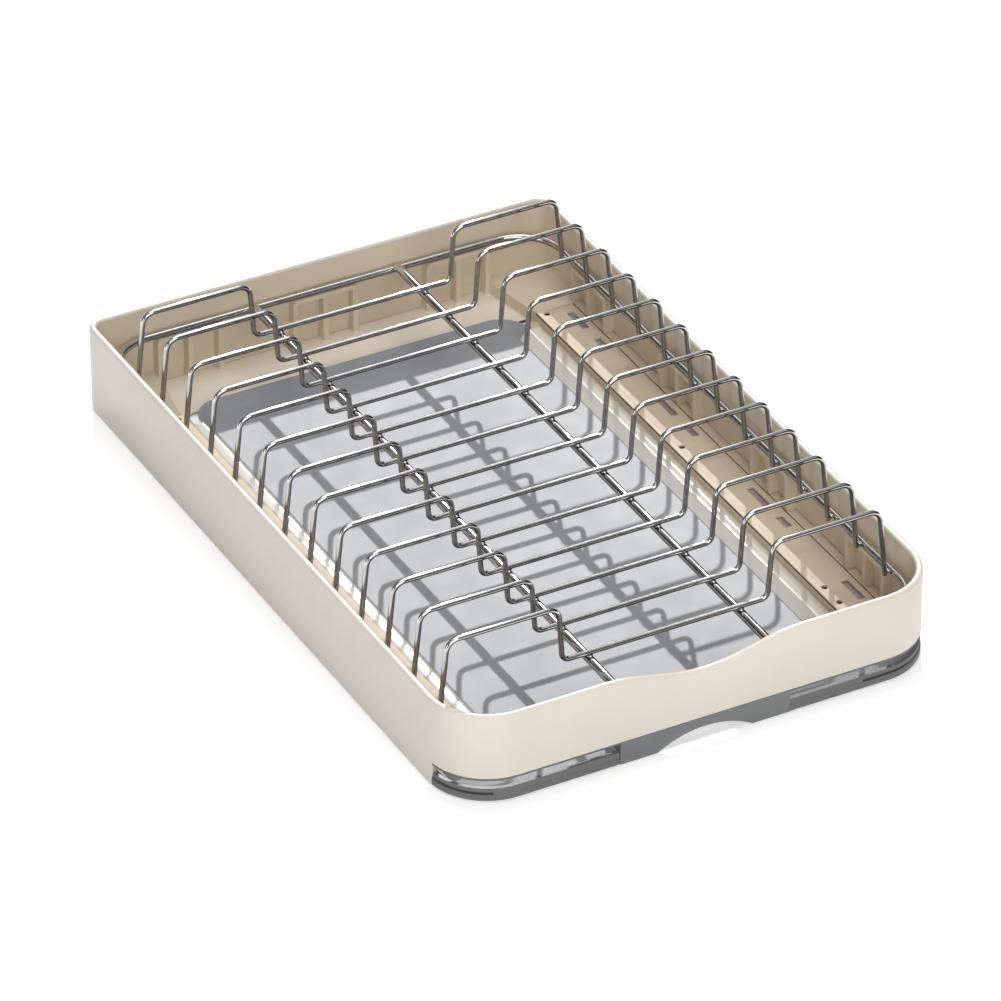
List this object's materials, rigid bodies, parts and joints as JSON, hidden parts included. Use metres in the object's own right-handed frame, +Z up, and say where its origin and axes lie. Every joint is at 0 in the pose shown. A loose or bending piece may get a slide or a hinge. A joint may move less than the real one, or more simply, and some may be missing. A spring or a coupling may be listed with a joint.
{
  "type": "pull-out dish drainer",
  "caption": "Low moulded frame on ball slides holding a lift-out wire dish rack with humped dividers over a translucent drip tray that pulls out at the front.",
  "frame": {"origin": "centre of the footprint at shelf level", "axes": "+X to the right seen from the front, +Y to the rear, +Z up; the drawer and the tray pull out towards -Y"},
  "size_m": [0.2924, 0.448, 0.079],
  "materials": {
    "beige_plastic": "satin moulded",
    "smoke_plastic": "clear smoke grey, polished",
    "dark_smoke_plastic": "polished",
    "chrome_wire": "bright plated wire",
    "zinc_steel": "zinc plated sheet",
    "ball_steel": "polished balls",
    "screw_steel": "dark plated"
  },
  "bodies": {
    "cabinet_members": {"slide_cabinet_member_left": "zinc_steel", "slide_cabinet_member_right": "zinc_steel"},
    "drawer": {"frame_shell": "beige_plastic", "rail_housing_left": "beige_plastic", "rail_housing_right": "beige_plastic", "rail_screw_left_1": "screw_steel", "rail_screw_left_2": "screw_steel", "rail_screw_left_3": "screw_steel", "rail_screw_left_4": "screw_steel", "rail_screw_right_1": "screw_steel", "rail_screw_right_2": "screw_steel", "rail_screw_right_3": "screw_steel", "rail_screw_right_4": "screw_steel", "slide_drawer_member_left": "zinc_steel", "slide_drawer_member_right": "zinc_steel"},
    "cage_left": {"ball_cage_left": "zinc_steel", "slide_ball_left_inner_1": "ball_steel", "slide_ball_left_inner_2": "ball_steel", "slide_ball_left_inner_3": "ball_steel", "slide_ball_left_outer_1": "ball_steel", "slide_ball_left_outer_2": "ball_steel", "slide_ball_left_outer_3": "ball_steel"},
    "cage_right": {"ball_cage_right": "zinc_steel", "slide_ball_right_inner_1": "ball_steel", "slide_ball_right_inner_2": "ball_steel", "slide_ball_right_inner_3": "ball_steel", "slide_ball_right_outer_1": "ball_steel", "slide_ball_right_outer_2": "ball_steel", "slide_ball_right_outer_3": "ball_steel"},
    "tray": {"drip_tray": "smoke_plastic", "tray_pull_block": "dark_smoke_plastic"},
    "rack": {"rack_ring_front": "chrome_wire", "rack_ring_rear": "chrome_wire", "rack_ring_left": "chrome_wire", "rack_ring_right": "chrome_wire", "rack_rod_left": "chrome_wire", "rack_rod_right": "chrome_wire", "divider_01": "chrome_wire", "divider_02": "chrome_wire", "divider_03": "chrome_wire", "divider_04": "chrome_wire", "divider_05": "chrome_wire", "divider_06": "chrome_wire", "divider_07": "chrome_wire", "divider_08": "chrome_wire", "divider_09": "chrome_wire", "divider_10": "chrome_wire", "divider_11": "chrome_wire", "divider_12": "chrome_wire", "divider_13": "chrome_wire"}
  },
  "joints": [
    {"name": "drawer_slide", "type": "slide", "parent": "cabinet_members", "child": "drawer", "axis": [0, -1, 0], "range_m": [0, 0.25]},
    {"name": "cage_slide_left", "type": "slide", "parent": "cabinet_members", "child": "cage_left", "axis": [0, -1, 0], "range_m": [0, 0.125]},
    {"name": "cage_slide_right", "type": "slide", "parent": "cabinet_members", "child": "cage_right", "axis": [0, -1, 0], "range_m": [0, 0.125]},
    {"name": "tray_slide", "type": "slide", "parent": "drawer", "child": "tray", "axis": [0, -1, 0], "range_m": [0, 0.42]},
    {"name": "rack_lift", "type": "slide", "parent": "drawer", "child": "rack", "axis": [0, 0, 1], "range_m": [0, 0.06]}
  ],
  "couplings": [
    {"joint": "cage_slide_left", "follows": "drawer_slide", "ratio": 0.5},
    {"joint": "cage_slide_right", "follows": "drawer_slide", "ratio": 0.5}
  ]
}
